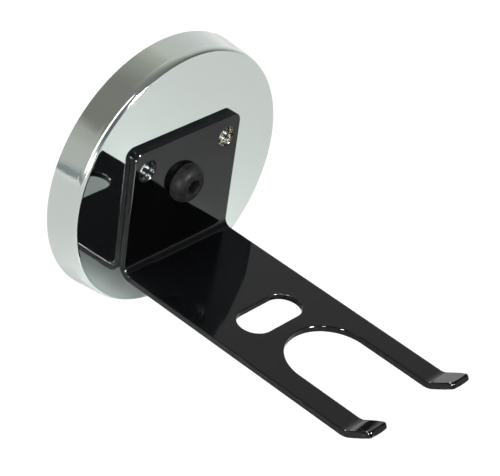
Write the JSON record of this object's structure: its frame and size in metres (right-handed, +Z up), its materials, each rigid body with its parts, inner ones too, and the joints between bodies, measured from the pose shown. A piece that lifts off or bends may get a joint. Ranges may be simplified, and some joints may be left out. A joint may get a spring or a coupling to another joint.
{
  "type": "hair dryer holder",
  "caption": "Magnetic hair dryer holder: a bent steel bracket with a forked, upturned end and a crosswise slot, bolted to the face of a round pot magnet.",
  "frame": {"origin": "centre of the magnet's rear face, the plane that clamps to a vertical steel surface", "axes": "+Y is the outward normal of the magnet's rear face, into the steel surface; -Y is forwards along the bracket's arm; +Z is up; +X is to the right seen from the front"},
  "size_m": [0.099, 0.1279, 0.099],
  "materials": {
    "chrome_plate": "bright polished chrome plate on steel",
    "ferrite": "ground dark grey ferrite",
    "potting_resin": "cast epoxy, slightly glossy",
    "black_paint": "gloss black enamel or powder coat with rounded edges",
    "black_oxide": "black oxide, satin",
    "zinc_plate": "bright zinc plate",
    "spring_steel": "zinc-plated spring steel, duller"
  },
  "bodies": {
    "magnet": {"magnet_cup": "chrome_plate", "ferrite_ring": "ferrite", "resin_bond": "potting_resin", "button_head_screw": "black_oxide", "flat_washer": "zinc_plate", "lock_washer": "spring_steel", "hex_nut": "zinc_plate"},
    "bracket": {"bracket": "black_paint"}
  },
  "joints": [
    {"name": "bracket_swivel", "type": "hinge", "parent": "magnet", "child": "bracket", "pos_m": [0, -0.0138, 0], "axis": [0, 1, 0], "continuous": true}
  ]
}
